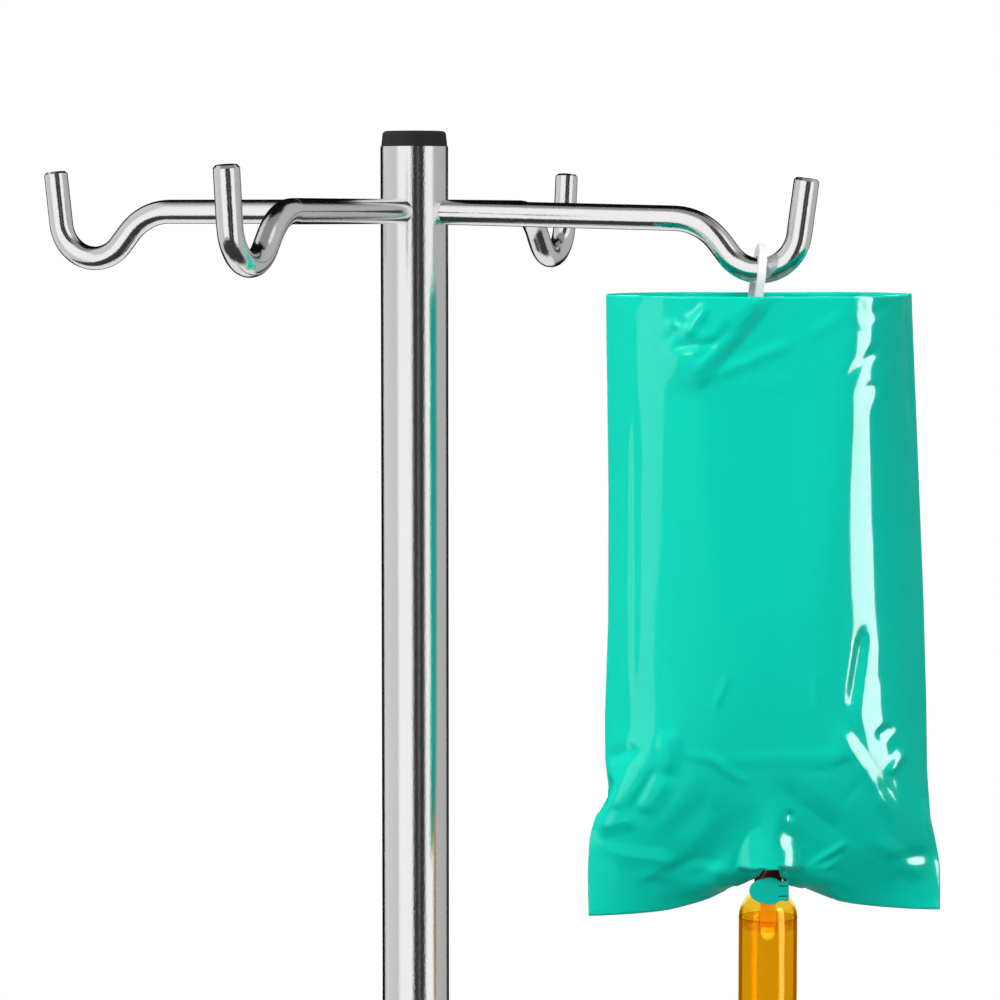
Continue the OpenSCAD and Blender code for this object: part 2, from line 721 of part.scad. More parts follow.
// One strand, from its upright stretch down to the turn at the bottom.
module strand(upright) {
    translate([0, 0, loop_z - lap]) tubing_straight(upright + lap);
    translate([-part_r, 0, loop_z]) tubing_bend(part_r, -part_angle, part_angle);
    translate([part_end[0], 0, part_end[1]]) rotate([0, 180 + part_angle, 0])
        translate([0, 0, -lap]) tubing_straight(run_len + 2 * lap);
}

module tubing($fn = 32) {
    color(amber) in_chamber() {
        strand(tubing_top - loop_z);
        translate([park_x, 0, 0]) mirror([1, 0, 0]) strand(luer_z + luer_socket - loop_z);
        translate([park_x / 2, 0, run_end[1] - round_r * sin(part_angle)])
            tubing_bend(round_r, 180 - part_angle, 180 + 2 * part_angle);
    }
}

clamp_half = [7, 27];    // half width and half length of the clamp
clamp_y = [-12, 3.6];    // its open front and its back
channel_half = 5.3;
roller_r = 6;
roller_y = -tubing_r - roller_r - 0.2;
roller_z = clamp_z + 14;
roller_travel = 28;
axle_pin_r = 1.3;

// Channel that holds the tubing, slotted for the roller's axle, with a clip for the parked end.
module clamp_housing() {
    clip_h = 8;
    color(white) in_chamber() translate([0, 0, clamp_z]) difference() {
        union() {
            translate([-clamp_half[0], clamp_y[0], -clamp_half[1]])
                cube([2 * clamp_half[0], clamp_y[1] - clamp_y[0], 2 * clamp_half[1]]);
            translate([park_x, 0, -clip_h / 2]) cylinder(r = 5, h = clip_h);
            translate([clamp_half[0] - 1, -1.5, -clip_h / 2]) cube([4, 3, clip_h]);
        }
        translate([-channel_half, clamp_y[0] - 1, -clamp_half[1] - 1])
            cube([2 * channel_half, tubing_r - clamp_y[0] + 1, 2 * clamp_half[1] + 2]);
        translate([-10, roller_y - axle_pin_r - running, 14 - roller_travel])
            cube([18, 2 * (axle_pin_r + running), roller_travel]);
        for (z = [14 - roller_travel, 14]) translate([-10, roller_y, z]) rotate([0, 90, 0])
            cylinder(r = axle_pin_r + running, h = 18);
        translate([park_x, 0, -clip_h]) cylinder(r = 3.2, h = 2 * clip_h);
        translate([park_x + 1, -2.4, -clip_h]) cube([6, 4.8, 2 * clip_h]);
    }
}

module roller_axle() {
    color(grey) in_chamber() translate([-clamp_half[0], roller_y, roller_z])
        rotate([0, 90, 0]) cylinder(r = axle_pin_r, h = 2 * clamp_half[0]);
}

// Ribbed thumb roller.
module roller_wheel() {
    ribs = 20;
    half = 4.8;
    color(teal) in_chamber() translate([-half, roller_y, roller_z]) rotate([0, 90, 0])
        difference() {
            cylinder(r = roller_r, h = 2 * half);
            translate([0, 0, -1]) cylinder(r = axle_pin_r + running, h = 2 * half + 2);
            for (i = [0:ribs - 1]) rotate([0, 0, i * 360 / ribs])
                translate([roller_r, 0, -1]) cylinder(r = 0.45, h = 2 * half + 2, $fn = 16);
        }
}

// ---------------------------------------------------------------- luer end

luer_body_r = 3.2;
flange_z = [12, 13.2];
nozzle_top = 22;
collar_bore = 4;
collar_outer = 5.2;

module at_luer() { in_chamber() translate([park_x, 0, luer_z]) children(); }

// Tubing socket, flange and tapered male nozzle.
module luer_connector() {
    color(white) at_luer() difference() {
        union() {
            cylinder(r = luer_body_r, h = flange_z[1]);
            translate([0, 0, flange_z[0]]) cylinder(r = collar_bore - 0.1, h = flange_z[1] - flange_z[0]);
            translate([0, 0, flange_z[1] - eps])
                cylinder(r1 = 2.3, r2 = 2, h = nozzle_top - flange_z[1]);
        }
        translate([0, 0, -1]) cylinder(r = tubing_r, h = luer_socket + 1);
        cylinder(r = 1.1, h = 30);
    }
}

// Locking collar that turns behind the flange.
module luer_collar() {
    grips = 12;
    lip = 1.5;
    color(teal) at_luer() translate([0, 0, flange_z[0] - 0.1 - lip]) difference() {
        union() {
            cylinder(r = collar_outer, h = nozzle_top - flange_z[0] + 0.1 + lip);
            for (i = [0:grips - 1]) rotate([0, 0, i * 360 / grips])
                translate([collar_outer, 0, 1]) cylinder(r = 0.45, h = 8, $fn = 16);
        }
        translate([0, 0, -1]) cylinder(r = luer_body_r + running, h = 20);
        translate([0, 0, lip]) cylinder(r = collar_bore, h = 20);
    }
}

// Push-on cap whose skirt plugs the collar.
module luer_cap() {
    color(grey) at_luer() {
        translate([0, 0, 15]) ring(collar_bore, 2.5, nozzle_top - 15 + eps);
        translate([0, 0, nozzle_top]) cylinder(r = collar_outer, h = 1.4);
        translate([0, 0, nozzle_top + 1.4 - eps]) capped_disc(4, 6, 1);
    }
}

// ---------------------------------------------------------------- pieces

base_hub();
base_legs();
socket_caps();
base_plug();
caster_stems();
for (k = [1:CASTERS]) {
    caster_hood(k);
    caster_axle(k);
    caster_wheels(k);
    caster_tyres(k);
}
for (k = BRAKED)
    caster_brake(k);
lower_tube();
guide_bush();
clamp_collar();
clamp_screw();
pressure_pad();
knob_grip();
upper_tube();
foot_bush();
top_cap();
arm(0, loaded_sag);  // arm_loaded
arm(1);  // arm_back
arm(2);  // arm_far
arm(3);  // arm_front
hanger_loop();
infusion_bottle();
solution();
stopper();
neck_ring();
cover_bag();
spike_hub();
vent_filter();
vent_flap();
chamber_cap();
chamber_body();
fluid_filter();
tubing();
clamp_housing();
roller_axle();
roller_wheel();
luer_connector();
luer_collar();
luer_cap();
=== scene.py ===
"""Looks of an IV stand with a hung, light-protected infusion bottle, built round its CAD frame."""

import json
import math

import bmesh
import bpy
import numpy as np
from mathutils import Matrix, Vector


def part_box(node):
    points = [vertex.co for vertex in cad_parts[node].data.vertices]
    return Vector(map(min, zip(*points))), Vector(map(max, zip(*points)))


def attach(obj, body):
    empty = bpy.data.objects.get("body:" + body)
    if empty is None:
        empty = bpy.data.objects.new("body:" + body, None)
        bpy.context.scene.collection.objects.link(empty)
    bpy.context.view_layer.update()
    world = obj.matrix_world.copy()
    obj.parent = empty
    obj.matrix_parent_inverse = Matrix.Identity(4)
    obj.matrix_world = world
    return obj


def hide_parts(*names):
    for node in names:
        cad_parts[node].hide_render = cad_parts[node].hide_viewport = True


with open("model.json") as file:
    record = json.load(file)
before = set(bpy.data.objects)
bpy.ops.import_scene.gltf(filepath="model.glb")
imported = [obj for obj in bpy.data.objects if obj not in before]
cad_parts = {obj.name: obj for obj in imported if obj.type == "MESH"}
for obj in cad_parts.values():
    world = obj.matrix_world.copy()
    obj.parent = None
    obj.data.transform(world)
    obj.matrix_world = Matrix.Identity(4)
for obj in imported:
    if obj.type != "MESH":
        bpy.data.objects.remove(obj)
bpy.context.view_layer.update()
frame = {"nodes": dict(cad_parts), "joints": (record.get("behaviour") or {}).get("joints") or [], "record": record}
NODES = frame["nodes"]
JOINTS = {j["name"]: j for j in frame["joints"]}
SLOTS = {sub["node"]: sub["material_slot"] for sub in frame["record"]["subparts"]}
MM = 0.001

# ------------------------------------------------------------------ places

TUBE_ABOVE_ARMS = 0.021
ARM_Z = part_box("upper_tube")[1].z - TUBE_ABOVE_ARMS
BAG_TURN = math.radians(24.0)       # the bottle's turn from the loaded arm
CHAMBER_X = 4.1                     # the drip chamber's offset across the bottle, mm


def hung_matrix():
    """From millimetres in the bottle's own frame, with its origin at the hook, to metres here."""
    at = Vector((JOINTS["hanger_swing"]["pos_m"][0], 0.0, ARM_Z))
    return Matrix.Translation(at) @ Matrix.Rotation(BAG_TURN, 4, "Z") @ Matrix.Scale(MM, 4)


HUNG = hung_matrix()

# ------------------------------------------------------------------ node helpers


class Tree:
    """Short calls for building a node tree."""

    def __init__(self, tree):
        self.tree = tree
        self.tree.nodes.clear()

    def add(self, kind, **values):
        node = self.tree.nodes.new(kind)
        for key, value in values.items():
            setattr(node, key, value)
        return node

    def put(self, value, socket):
        """Links value if it is a socket, and otherwise sets it."""
        if isinstance(value, bpy.types.NodeSocket):
            self.tree.links.new(value, socket)
        elif value is not None:
            if hasattr(socket, "default_value"):
                length = getattr(socket.default_value, "__len__", lambda: 0)()
                if length == 4 and hasattr(value, "__len__") and len(value) == 3:
                    value = (*value, 1.0)
                socket.default_value = value

    def math(self, operation, a, b=None):
        node = self.add("ShaderNodeMath", operation=operation)
        for value, socket in zip((a, b), node.inputs):
            self.put(value, socket)
        return node.outputs[0]

    def mix(self, factor, a, b):
        """Mixes two colours. A Mix node keeps its colour sockets at inputs 6 and 7, output 2."""
        node = self.add("ShaderNodeMix", data_type="RGBA")
        self.put(factor, node.inputs["Factor"])
        self.put(a, node.inputs[6])
        self.put(b, node.inputs[7])
        return node.outputs[2]

    def mix_shader(self, factor, a, b):
        node = self.add("ShaderNodeMixShader")
        for value, socket in zip((factor, a, b), node.inputs):
            self.put(value, socket)
        return node.outputs[0]

    def ramp(self, factor, stops):
        """Straight-line ramp through (place, grey value) stops."""
        node = self.add("ShaderNodeValToRGB")
        elements = node.color_ramp.elements
        while len(elements) < len(stops):
            elements.new(0.5)
        for element, (place, value) in zip(elements, stops):
            element.position = place
            element.color = (value, value, value, 1)
        self.put(factor, node.inputs["Fac"])
        return node.outputs["Color"]

    def smooth(self, value, start, end):
        node = self.add("ShaderNodeMapRange", interpolation_type="SMOOTHSTEP")
        self.put(value, node.inputs["Value"])
        node.inputs["From Min"].default_value = start
        node.inputs["From Max"].default_value = end
        return node.outputs["Result"]

    def stretch(self, vector, scale):
        node = self.add("ShaderNodeMapping")
        self.put(vector, node.inputs["Vector"])
        node.inputs["Scale"].default_value = scale
        return node.outputs["Vector"]

    def noise(self, vector, scale, detail=2.0, rough=0.5, distortion=0.0):
        node = self.add("ShaderNodeTexNoise")
        self.put(vector, node.inputs["Vector"])
        for name, value in (("Scale", scale), ("Detail", detail), ("Roughness", rough),
                            ("Distortion", distortion)):
            node.inputs[name].default_value = value
        return node.outputs["Fac"]

    def bump(self, height, distance, strength=1.0, normal=None):
        node = self.add("ShaderNodeBump")
        self.put(height, node.inputs["Height"])
        self.put(normal, node.inputs["Normal"])
        node.inputs["Distance"].default_value = distance
        self.put(strength, node.inputs["Strength"])
        return node.outputs["Normal"]


def new_material(name):
    material = bpy.data.materials.new(name)
    material.use_nodes = True
    return material, Tree(material.node_tree)


def show(t, shader):
    """Wires a shader socket to the material's output."""
    t.put(shader, t.add("ShaderNodeOutputMaterial").inputs["Surface"])


def principled(t, **values):
    """Principled shader wired to the output. Keys are input names with _ for a space."""
    node = t.add("ShaderNodeBsdfPrincipled")
    for key, value in values.items():
        t.put(value, node.inputs[key.replace("_", " ")])
    show(t, node.outputs["BSDF"])


def object_coords(t):
    return t.add("ShaderNodeTexCoord").outputs["Object"]


# ------------------------------------------------------------------ materials


def satin_steel(name="satin_steel", along="Z", grain=1.0):
    """Ground stainless steel: grain along one axis, fine pits that glint, and faint smears."""
    material, t = new_material(name)
    place = object_coords(t)
    fine, long = 2600.0, 260.0
    scale = {"X": (long, fine, fine), "Y": (fine, long, fine), "Z": (fine, fine, long)}[along]
    streaks = t.noise(t.stretch(place, scale), 1.0, detail=3.0, rough=0.6)
    pits = t.noise(place, 1500.0, detail=2.0, rough=0.7)
    smears = t.noise(t.stretch(place, (18, 18, 5)), 1.0, detail=3.0)
    relief = t.math("ADD", t.math("MULTIPLY", streaks, 0.35), pits)
    rough = t.math("ADD", 0.1 * grain, t.math("MULTIPLY", smears, 0.06))
    colour = t.mix(smears, (0.80, 0.80, 0.79), (0.88, 0.885, 0.89))
    principled(t, Base_Color=colour, Metallic=1.0, Roughness=rough,
               Normal=t.bump(relief, 0.00006 * grain, 0.55))
    return material


MOULDED_EDGE = 0.0004               # rounding of a moulding's edges, metres


def plastic(name, colour, rough, spread, shine=0.2):
    """Moulded plastic: fine spark-eroded texture, slight tone drift and worn-smooth patches."""
    material, t = new_material(name)
    place = object_coords(t)
    texture = t.noise(place, 1400.0, detail=2.0, rough=0.6)
    drift = t.noise(place, 22.0, detail=3.0)
    darker = tuple(c * (1 - spread) for c in colour)
    lighter = tuple(min(1.0, c * (1 + spread) + 0.004) for c in colour)
    tone = t.mix(drift, darker, lighter)
    roughness = t.math("ADD", rough - 0.06, t.math("MULTIPLY", drift, 0.14))
    edge = t.add("ShaderNodeBevel", samples=4)
    edge.inputs["Radius"].default_value = MOULDED_EDGE
    principled(t, Base_Color=tone, Roughness=roughness, Specular_IOR_Level=shine,
               Normal=t.bump(texture, 0.00004, 0.6, edge.outputs["Normal"]))
    return material


def clear_plastic(name, colour, rough, weight):
    """Transparent moulding with flow marks."""
    material, t = new_material(name)
    place = object_coords(t)
    flow = t.noise(t.stretch(place, (60, 60, 14)), 1.0, detail=2.0)
    deep = tuple(c * 0.86 for c in colour)
    principled(t, Base_Color=t.mix(flow, deep, colour), Roughness=t.math("ADD", rough, t.math(
        "MULTIPLY", flow, 0.05)), Transmission_Weight=weight, IOR=1.49,
        Normal=t.bump(flow, 0.0002, 0.25))
    return material


CHAMBER_INSIDE = (0.0083, 0.0087)   # where the chamber's inner wall ends, metres from its axis
CHAMBER_OUTSIDE = (0.0087, 0.0091)  # and where its outer wall starts
GLINT_LIMIT = 0.012                 # the most a tinted wall reflects


def tinted_shell(name, tint, core=None):
    """Thin clear-tinted wall: it filters what is behind it, darker at its edges, and glints.

    core is the radius in metres, round the chamber's axis, of a solid middle that scatters light and carries a
    painted glow, an emission that brightens it though it is no lamp.
    """
    material, t = new_material(name)
    place = object_coords(t)
    flow = t.noise(t.stretch(place, (90, 90, 16)), 1.0, detail=2.0)
    facing = t.add("ShaderNodeLayerWeight")
    facing.inputs["Blend"].default_value = 0.3
    axis = HUNG @ Vector((CHAMBER_X, 0.0, 0.0))
    shift = t.add("ShaderNodeMapping")
    t.put(place, shift.inputs["Vector"])
    shift.inputs["Location"].default_value = (-axis.x, -axis.y, 0.0)
    away = t.add("ShaderNodeVectorMath", operation="LENGTH")
    t.put(t.stretch(shift.outputs["Vector"], (1.0, 1.0, 0.0)), away.inputs[0])
    from_axis = away.outputs["Value"]
    slightly = tuple(c ** 1.12 for c in tint)
    lighter = tuple(c ** 0.5 for c in tint)
    middle = t.mix(t.smooth(from_axis, *CHAMBER_INSIDE), lighter, t.mix(flow, tint, slightly))
    rim = t.ramp(facing.outputs["Facing"], ((0.32, 0.0), (0.42, 1.0), (0.56, 1.0), (0.72, 0.0)))
    outer = t.math("MULTIPLY", rim, t.smooth(from_axis, *CHAMBER_OUTSIDE))
    clear = t.add("ShaderNodeBsdfTransparent")
    t.put(t.mix(outer, middle, AMBER_EDGE), clear.inputs["Color"])
    gloss = t.add("ShaderNodeBsdfGlossy")
    gloss.inputs["Color"].default_value = (1.0, 0.6, 0.2, 1.0)
    t.put(0.04, gloss.inputs["Roughness"])
    t.put(t.bump(flow, 0.0001, 0.3), gloss.inputs["Normal"])
    fresnel = t.add("ShaderNodeFresnel")
    fresnel.inputs["IOR"].default_value = 1.5
    glint = t.math("MINIMUM", fresnel.outputs[0], GLINT_LIMIT)
    shell = t.mix_shader(glint, clear.outputs[0], gloss.outputs[0])
    if core:
        scatter = t.add("ShaderNodeBsdfTranslucent")
        t.put(t.mix(flow, (0.98, 0.72, 0.3), (1.0, 0.8, 0.42)), scatter.inputs["Color"])
        # Painted glow: a faint emission that makes the drip former look lit from within.
        painted_glow = t.add("ShaderNodeEmission")
        t.put((0.1, 0.06, 0.01), painted_glow.inputs["Color"])
        both = t.add("ShaderNodeAddShader")
        t.put(scatter.outputs[0], both.inputs[0])
        t.put(painted_glow.outputs[0], both.inputs[1])
        solid = t.smooth(from_axis, core * 1.06, core)
        shell = t.mix_shader(solid, shell, both.outputs[0])
    show(t, shell)
    return material


def hanging_liquid(name):
    """The drop under the drip former: clear, with a painted glow from its emission and painted shade at its rim.
    """
    material, t = new_material(name)
    place = object_coords(t)
    swirl = t.noise(place, 700.0, detail=1.0)
    facing = t.add("ShaderNodeLayerWeight")
    facing.inputs["Blend"].default_value = 0.4
    rim = t.smooth(facing.outputs["Facing"], 0.45, 0.9)
    inner = t.mix(swirl, (1.0, 0.93, 0.55), (1.0, 0.98, 0.75))
    # Painted light: the emission makes the drop glow as if lit from within, and the rim mix paints shade at its
    # edge.
    principled(t, Base_Color=t.mix(rim, inner, (0.55, 0.3, 0.06)), Roughness=0.05, IOR=1.33,
               Transmission_Weight=0.2, Emission_Color=t.mix(rim, inner, (0.1, 0.05, 0.0)),
               Emission_Strength=0.6)
    return material


def rubber(name, colour):
    material, t = new_material(name)
    place = object_coords(t)
    dust = t.noise(place, 90.0, detail=4.0, rough=0.65)
    texture = t.noise(place, 1100.0, detail=2.0)
    lighter = tuple(c * 2.2 + 0.02 for c in colour)
    principled(t, Base_Color=t.mix(t.smooth(dust, 0.42, 0.75), colour, lighter),
               Roughness=t.math("ADD", 0.55, t.math("MULTIPLY", dust, 0.25)),
               Normal=t.bump(texture, 0.00006, 0.7))
    return material


def filter_cloth(name):
    """Woven mesh of fine white threads."""
    material, t = new_material(name)
    place = object_coords(t)
    weave = t.add("ShaderNodeTexWave", wave_type="BANDS", bands_direction="X")
    cross = t.add("ShaderNodeTexWave", wave_type="BANDS", bands_direction="Z")
    for wave in (weave, cross):
        t.put(place, wave.inputs["Vector"])
        wave.inputs["Scale"].default_value = 900.0
    thread = t.math("MULTIPLY", weave.outputs["Fac"], cross.outputs["Fac"])
    principled(t, Base_Color=t.mix(thread, (0.62, 0.62, 0.6), (0.94, 0.94, 0.92)),
               Roughness=0.8, Normal=t.bump(thread, 0.0001, 0.8))
    return material


def cover_film(name):
    """Glossy opaque green film with soft stretch waves, faint scuffs and a slight tone drift."""
    material, t = new_material(name)
    place = object_coords(t)
    waves = t.noise(t.stretch(place, (48, 48, 13)), 1.0, detail=1.5, rough=0.4, distortion=0.4)
    dimples = t.noise(t.stretch(place, (150, 150, 60)), 1.0, detail=1.0, rough=0.4)
    scuffs = t.noise(t.stretch(place, (240, 240, 90)), 1.0, detail=4.0, rough=0.7)
    first = t.bump(waves, 0.0016, 0.3)
    second = t.bump(dimples, 0.0001, 0.3, first)
    tone = t.mix(waves, (0.0025, 0.515, 0.385), (0.004, 0.545, 0.41))
    principled(t, Base_Color=tone, Specular_IOR_Level=0.04,
               Roughness=t.math("ADD", 0.05, t.math("MULTIPLY", t.smooth(scuffs, 0.5, 0.8), 0.08)),
               IOR=1.5, Normal=second)
    return material


def liquid(name, colour):
    material, t = new_material(name)
    place = object_coords(t)
    cloud = t.noise(place, 30.0)
    principled(t, Base_Color=t.mix(cloud, tuple(c * 0.93 for c in colour), colour), Roughness=0.0,
               Transmission_Weight=1.0, IOR=1.33)
    return material


AMBER = (0.87, 0.672, 0.12)
AMBER_EDGE = (0.52, 0.3, 0.05)
# Paler copy of the amber tint for the chamber's cap: painted light, for the dome lit from above.
AMBER_CAP_TOPLIT = (0.92, 0.77, 0.24)
DRIP_TUBE_R = 0.0026                # radius of the drip former inside the chamber's cap, metres
STEEL_Z = satin_steel("satin_steel_upright", "Z")
STEEL_X = satin_steel("satin_steel_rod_x", "X", 0.9)
STEEL_Y = satin_steel("satin_steel_rod_y", "Y", 0.9)
FINISH = {
    "satin_steel": STEEL_Z,
    "black_plastic": plastic("black_plastic", (0.012, 0.012, 0.0125), 0.5, 0.25),
    "white_plastic": plastic("white_plastic", (0.80, 0.80, 0.77), 0.38, 0.05),
    "grey_plastic": plastic("grey_plastic", (0.16, 0.165, 0.17), 0.5, 0.14),
    "hanger_plastic": clear_plastic("hanger_plastic", (0.95, 0.98, 0.98), 0.32, 0.35),
    "bottle_plastic": clear_plastic("bottle_plastic", (0.93, 0.95, 0.95), 0.25, 0.8),
    "solution": liquid("solution", (0.97, 0.93, 0.7)),
    "stopper_rubber": rubber("stopper_rubber", (0.18, 0.18, 0.185)),
    "cover_film": cover_film("cover_film"),
    "dark_amber_plastic": clear_plastic("dark_amber_plastic", (0.30, 0.03, 0.004), 0.12, 0.45),
    "amber_plastic": tinted_shell("amber_plastic", AMBER),
    "hanging_liquid": hanging_liquid("hanging_liquid"),
    "clear_plastic": clear_plastic("clear_plastic", (0.94, 0.96, 0.96), 0.05, 1.0),
    "teal_plastic": plastic("teal_plastic", (0.001, 0.395, 0.3), 0.4, 0.06, shine=0.03),
    "filter_cloth": filter_cloth("filter_cloth"),
    "tyre_rubber": rubber("tyre_rubber", (0.06, 0.06, 0.062)),
}


def dress_cad():
    """Gives every carried-over CAD node its procedural finish."""
    own = {"arm_loaded": STEEL_X, "arm_far": STEEL_X, "arm_back": STEEL_Y, "arm_front": STEEL_Y,
           # The cap's material carries the painted top-lit tint and the core's painted glow.
           "chamber_cap": tinted_shell("amber_cap_toplit", AMBER_CAP_TOPLIT, core=DRIP_TUBE_R)}
    for name, node in NODES.items():
        material = own.get(name, FINISH[SLOTS[name]])
        if not node.material_slots:
            node.data.materials.append(material)
        for place in node.material_slots:
            place.material = material


# ------------------------------------------------------------------ cover bag

FLAT_W = 112.5           # lay-flat width of the cover, mm
COVER_TOP = -26.0        # heights in the bottle's frame, mm
COVER_BOTTOM = -220.0
ARCH_Z = -205.1          # the bottom edge at the spike
COLS = 80                # cells across one sheet
ROWS = 140
HALF_DEPTH = 21.5        # how far each sheet may stand off the middle plane, mm
BOTTLE_HALF = 20.5       # half the straight part of the oval bottle
BOTTLE_R = 16.5
BOTTLE_TOP = -3.0        # heights in the frame of the bottle's own hanging pin, mm
SHOULDER_TOP = -122.0
NECK_END = -160.0
SHOULDER_H = 18.0
NECK_R = 11.9            # radius of the ring round the neck
SPIKE_R = 5.6            # and of the spike's hub under it
BOTTLE_PIN = (-3.35, -45.8)         # where that pin is, from the hook
PATH_SLACK = -3.0        # what the columns over the bottle gain in rest height, mm
TUCK_ROWS = 26           # rows above the bottom edge that are drawn straight beside the spike
BACK_RISE = 0.5          # how much higher the back sheet's mouth stands, mm
BOTTLE_LEAN = 0.0466     # how far the bottle leans, radians
FILM_T = 0.00025         # thickness of the film, metres
STEPS = 600              # of the cloth solver
RIPPLE = 0.35            # height of the waves that the film starts with, mm
RIPPLE_SEED = 11
CREASE_SEED = 5
SEALED_FROM = 15.0       # the bottom edge is sealed beyond this distance from the spike, mm
SEAM_HALF = 0.2          # half the distance between the sheets at the seam, mm
SHEET_OFF = 0.15         # the least distance of a sheet from the middle plane, mm
FALL = 0.0006            # what one step adds to the speed downwards, mm a step
PUFF = 0.0012            # and what the air inside adds to the speed outwards
FILL_TIME = 0.45         # share of the steps in which the bottle comes to its full depth
LAST_GAP = 1.3           # the film's last distance from the bottle, mm
CREASE_LIMITS = (-1.3, 1.6)         # deepest valley and highest ridge, mm
CREASE_FADE = 0.28       # share of a crease's length in which each end fades
EDGE_CELLS = 8.0         # creases fade this many fine cells from a side edge


def smoothstep(t):
    t = np.clip(t, 0.0, 1.0)
    return t * t * (3 - 2 * t)


def profile(at, points):
    """Straight lines through a few (place, value) points, both in millimetres."""
    places, values = zip(*points)
    return np.interp(at, places, values)


# Where the hanging cover's side edges come to rest, in millimetres below its top.
LEFT_EDGE = ((0, -47.8), (60, -46.8), (100, -46.8), (132, -47.8), (144, -47.6), (155, -46.2),
             (158, -46.6), (163, -50.6), (170, -52.8), (180, -53.4), (194, -53.2))
RIGHT_EDGE = ((0, 47.9), (50, 50.4), (95, 52.6), (128, 53.8), (150, 54.2), (165, 55.4),
              (180, 58.9), (194, 59.2))
# How far the bottom edge hangs below its highest point, by millimetres from the spike.
BOTTOM_EDGE = ((-56, 17.8), (-34, 16.4), (-21, 11.6), (-8, 4.8), (-4.5, 3.0), (-2, 0.3), (2, 0.3),
               (4.5, 3.2), (10, 7.1), (19, 10.2), (28, 14.2), (54, 16.2))
# Creases of the front sheet: start and end (across from the hook, down from the mouth), the reach
# to each side and the height, all in mm. A negative height is a valley, and a seventh number is the
# reach on the other side where the two differ.
CREASES = (
    (3, -5, -27, 30, 5.0, 1.9, 13.0), (-25, 28, 12, 13, 3.0, 0.5), (12, 13, 26, 5, 3.0, 0.3),
    (-14, 14, -29, 16, 2.2, -0.7), (-17, 2, -25, 13, 2.4, 0.8), (-8, 8, -22, 21, 3.0, -0.8),
    (-31, 8, -20, 12, 2.5, 0.5), (-39.5, 26, -39.2, 128, 1.8, -0.5), (46, -2, 48, 44, 1.8, -0.7),
    (38, 14, 24, 26, 2.4, -0.35), (27, 27, 38, 25, 2.0, 0.12), (31.5, 1, 36, 9, 2.0, 0.15),
    (32, 101, 27.5, 130, 2.6, -1.0), (-10, 116, -15, 129, 2.0, 0.4), (16, 115, 17, 130, 1.8, 0.4),
    (-19, 141, -3, 153, 2.5, 0.5), (21, 130, 44, 166, 3.5, 0.9), (36, 138, 42, 134, 2.2, -0.8),
    (40, 150, 46, 142, 2.4, 0.9), (-28, 134, -29, 150, 4.0, 0.8), (-28, 149, -37, 163, 4.5, 1.1),
    (-37, 163, -53, 169, 4.0, 1.0), (-32, 145, -40, 162, 2.0, -0.6), (-52, 147, -36, 141, 3.0, -0.7),
    (-49, 175, -24, 178, 4.0, 0.6), (-24, 178, -2, 183, 3.0, 0.4), (-34, 182, -15, 176, 3.0, -0.5),
    (-40, 186, -22, 176, 3.0, 0.4), (16, 179, 29, 171, 1.7, 0.7), (20, 181, 27, 176, 1.6, 0.5),
    (23, 187, 28, 192, 1.6, 0.6), (34, 168, 55, 186, 4.0, 0.7), (40, 178, 57, 176, 3.0, -0.5),
    (8, 163, 11, 162, 2.2, -0.7), (2, 150, 30, 172, 6.0, -0.8), (52, 158, 57, 180, 2.2, 0.7),
)
# Zones of small random creases, (least across, most across, least down, most down, how many, sheet).
CRUMPLED = ((-46, 5, 0, 30, 12, "front"), (26, 50, 0, 60, 9, "front"), (24, 48, 60, 135, 3, "front"),
            (-54, -4, 138, 192, 22, "front"), (8, 57, 145, 192, 20, "front"),
            (-46, 48, 0, 40, 18, "back"), (-46, 50, 40, 130, 16, "back"), (-52, 56, 130, 192, 44, "back"))


def bottle_section(z):
    """Half straight and radius of the thing inside the cover at height z, in its own frame."""
    shoulder = smoothstep((SHOULDER_TOP - z) / SHOULDER_H)
    half = BOTTLE_HALF * (1 - shoulder)
    radius = BOTTLE_R + (NECK_R - BOTTLE_R) * shoulder
    radius = np.where(z < NECK_END, SPIKE_R, radius)
    return np.where(z > BOTTLE_TOP, 0.0, half), np.where(z > BOTTLE_TOP, 0.0, radius)


def push_out(points, swell, gap=0.5):
    """Moves points out of the bottle. swell grows its depth from 0 to 1."""
    x, y, z = points[..., 0], points[..., 1], points[..., 2]
    local_z = z - BOTTLE_PIN[1]
    local_x = x - BOTTLE_PIN[0] + local_z * BOTTLE_LEAN
    half, radius = bottle_section(local_z)
    depth = y / max(swell, 0.05)
    off = local_x - np.clip(local_x, -half, half)
    reach = np.sqrt(off * off + depth * depth) + 1e-9
    wanted = radius + gap
    push = np.where((reach < wanted) & (radius > 0), wanted / reach, 1.0)
    points[..., 0] += off * (push - 1.0)
    points[..., 1] = depth * push * max(swell, 0.05)


def pull(points, a, b, rest, stiffness, only_squeeze=False):
    """Brings the pairs points[a], points[b] to their rest distance."""
    gap = points[b] - points[a]
    length = np.sqrt((gap * gap).sum(-1, keepdims=True)) + 1e-9
    error = (length - rest) / length
    if only_squeeze:
        error = np.minimum(error, 0.0)
    step = gap * error * (0.5 * stiffness)
    points[a] += step
    points[b] -= step


def ring_pairs(ring, rows):
    """Slices for the constraint families of a sleeve, as index arrays into (rows, ring)."""
    jj, ii = np.meshgrid(np.arange(rows + 1), np.arange(ring), indexing="ij")
    families = []
    for parity in (0, 1):
        pick = ii % 2 == parity
        families.append((jj[pick], ii[pick], jj[pick], (ii[pick] + 1) % ring, "across"))
        pick = (jj % 2 == parity) & (jj < rows)
        families.append((jj[pick], ii[pick], jj[pick] + 1, ii[pick], "down"))
        families.append((jj[pick], ii[pick], jj[pick] + 1, (ii[pick] + 1) % ring, "shear"))
        families.append((jj[pick], ii[pick], jj[pick] + 1, (ii[pick] - 1) % ring, "shear"))
    return families


